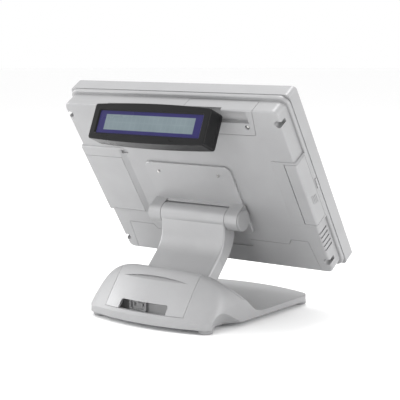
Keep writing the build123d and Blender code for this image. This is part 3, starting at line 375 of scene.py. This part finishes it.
# ------------------------------------------------------------------ pieces finer than the CAD
def mesh_piece(name, bm, slot_name, body, *nodes):
    """Finish a bmesh as a piece that rides on a body and takes a slot's material."""
    bmesh.ops.recalc_face_normals(bm, faces=bm.faces)
    mesh = bpy.data.meshes.new(name)
    bm.to_mesh(mesh)
    bm.free()
    mesh.polygons.foreach_set("use_smooth", [True] * len(mesh.polygons))
    mesh.set_sharp_from_angle(angle=math.radians(35))
    mesh.materials.append(MATERIALS[slot_name])
    piece = bpy.data.objects.new(name, mesh)
    scene.collection.objects.link(piece)
    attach(piece, body)
    if nodes:
        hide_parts(*nodes)
    return piece


def lathe(bm, profile, place, axis, segments=48):
    """Turn a profile of (radius, height) points round an axis through a place."""
    turn = Vector(axis).to_track_quat("Z", "Y").to_matrix()
    rings = []
    for radius, height in profile:
        ring = []
        for k in range(segments):
            angle = 2 * math.pi * k / segments
            local = Vector((radius * math.cos(angle), radius * math.sin(angle), height))
            ring.append(bm.verts.new(Vector(place) + turn @ local))
        rings.append(ring)
    for lower, upper in zip(rings, rings[1:]):
        for k in range(segments):
            bm.faces.new((lower[k], lower[(k + 1) % segments], upper[(k + 1) % segments], upper[k]))
    bm.faces.new(rings[0][::-1])
    bm.faces.new(rings[-1])


CROSS_LINES = (0.0, 0.11, 0.17, 0.36, 0.52, 0.60, 0.74, 0.86, 0.95, 1.0)


def cross_screw(bm, place, axis, radius, height, dome, shank, length):
    """Screw head with a cross recess in a domed top, and its plain shank."""
    turn = Vector(axis).to_track_quat("Z", "Y").to_matrix()
    place = Vector(place)
    lines = [-v for v in CROSS_LINES[:0:-1]] + list(CROSS_LINES)

    def top(a, b):
        x, y = a * math.sqrt(1 - b * b / 2), b * math.sqrt(1 - a * a / 2)
        reach = math.hypot(x, y)
        z = height - dome * reach ** 2.4
        arm = min(max(abs(a), abs(b)), 0.9)
        narrow = min(abs(a), abs(b))
        if narrow < 0.12 and arm < 0.53:
            z -= 0.55 * height * (1 - 0.45 * arm)
        return place + turn @ Vector((radius * x, radius * y, z))

    count = len(lines)
    grid = [[bm.verts.new(top(a, b)) for b in lines] for a in lines]
    for i in range(count - 1):
        for j in range(count - 1):
            bm.faces.new((grid[i][j], grid[i + 1][j], grid[i + 1][j + 1], grid[i][j + 1]))
    rim = [grid[i][0] for i in range(count)] + [grid[-1][j] for j in range(1, count)]
    rim += [grid[i][-1] for i in range(count - 2, -1, -1)] + [grid[0][j] for j in range(count - 2, 0, -1)]
    foot = []
    for vert in rim:
        flat = turn.transposed() @ (vert.co - place)
        foot.append(bm.verts.new(place + turn @ Vector((flat.x, flat.y, 0))))
    for k in range(len(rim)):
        n = (k + 1) % len(rim)
        bm.faces.new((rim[n], rim[k], foot[k], foot[n]))
    bm.faces.new(foot[::-1])
    lathe(bm, [(shank, -length), (shank, 0.00001)], place, axis, 20)


def solids_of(node):
    """Vertex places and middle of every separate solid in a node's mesh."""
    bm = bmesh.new()
    bm.from_mesh(frame["nodes"][node].data)
    bmesh.ops.remove_doubles(bm, verts=bm.verts, dist=0.000001)
    seen, solids = set(), []
    for start in bm.verts:
        if start in seen:
            continue
        group, stack = [], [start]
        seen.add(start)
        while stack:
            vert = stack.pop()
            group.append(vert.co.copy())
            for edge in vert.link_edges:
                other = edge.other_vert(vert)
                if other not in seen:
                    seen.add(other)
                    stack.append(other)
        solids.append((group, sum(group, Vector()) / len(group)))
    bm.free()
    return solids


def screw_set(name, node, axis, radius, height, dome, shank, body):
    """Cross-recess screws in place of a node's plain ones, on the same seats."""
    axis = Vector(axis).normalized()
    bm = bmesh.new()
    for points, _ in solids_of(node):
        along = [p.dot(axis) for p in points]
        high, low = max(along), min(along)
        heads = [p for p in points if p.dot(axis) > high - height - 0.0002]
        centre = sum(heads, Vector()) / len(heads)
        centre += axis * (high - height - centre.dot(axis))
        cross_screw(bm, centre, axis, radius, height, dome, shank, high - height - low)
    return mesh_piece(name, bm, "screw_steel", body, node)


screw_set("bracket_cross_screws", "bracket_screws", HEAD_BACK, 3.6 * MM, 1.75 * MM, 0.7 * MM, 1.8 * MM,
          "head")
screw_set("head_cross_screws", "head_screws", HEAD_BACK, 3.2 * MM, 2.35 * MM, 0.6 * MM, 1.6 * MM, "head")
screw_set("hatch_cross_screw", "hatch_screw", HEAD_BACK, 3.1 * MM, 1.6 * MM, 0.4 * MM, 1.5 * MM, "head")
screw_set("display_cross_screws", "display_screws", -DISPLAY_FACING, 2.5 * MM, 1.55 * MM, 0.4 * MM,
          1.1 * MM, "customer_display")
screw_set("base_cross_screws", "base_screws", (0, 0, -1), 3.0 * MM, 1.38 * MM, 0.4 * MM, 1.5 * MM, "base")


def grooved_feet():
    """Four moulded rubber feet with a grip ring on the sole and a rounded edge."""
    profile = [(9.7, 6.0), (9.7, 2.4), (9.45, 1.2), (8.7, 0.35), (7.9, 0.0), (6.9, 0.0), (6.6, 0.7),
               (5.4, 0.7), (5.1, 0.0), (3.4, 0.0), (3.1, 0.7), (1.6, 0.7), (1.3, 0.3)]
    bm = bmesh.new()
    for points, centre in solids_of("rubber_feet"):
        lathe(bm, [(r * MM, z * MM) for r, z in reversed(profile)], (centre.x, centre.y, 0), (0, 0, 1))
    mesh_piece("grooved_feet", bm, "foot_rubber", "base", "rubber_feet")


def dished_caps():
    """Hinge end caps with a shallow dish and a ring groove near the rim."""
    low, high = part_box("hinge_end_caps")
    outer = high.x
    profile = [(8.95, -3.3), (8.95, -1.5), (13.5, -1.5), (14.3, -1.0), (14.3, -0.7), (14.1, -0.3),
               (13.6, 0.0), (12.5, 0.0), (12.3, -0.3), (11.9, -0.3), (11.7, 0.0), (10.8, -0.04),
               (6.0, -0.26), (1.0, -0.34)]
    bm = bmesh.new()
    for sign in (-1, 1):
        place = (sign * outer, HINGE.y, HINGE.z)
        lathe(bm, [(r * MM, z * MM) for r, z in profile], place, (sign, 0, 0), 64)
    mesh_piece("dished_caps", bm, "body_plastic", "head", "hinge_end_caps")


grooved_feet()
dished_caps()
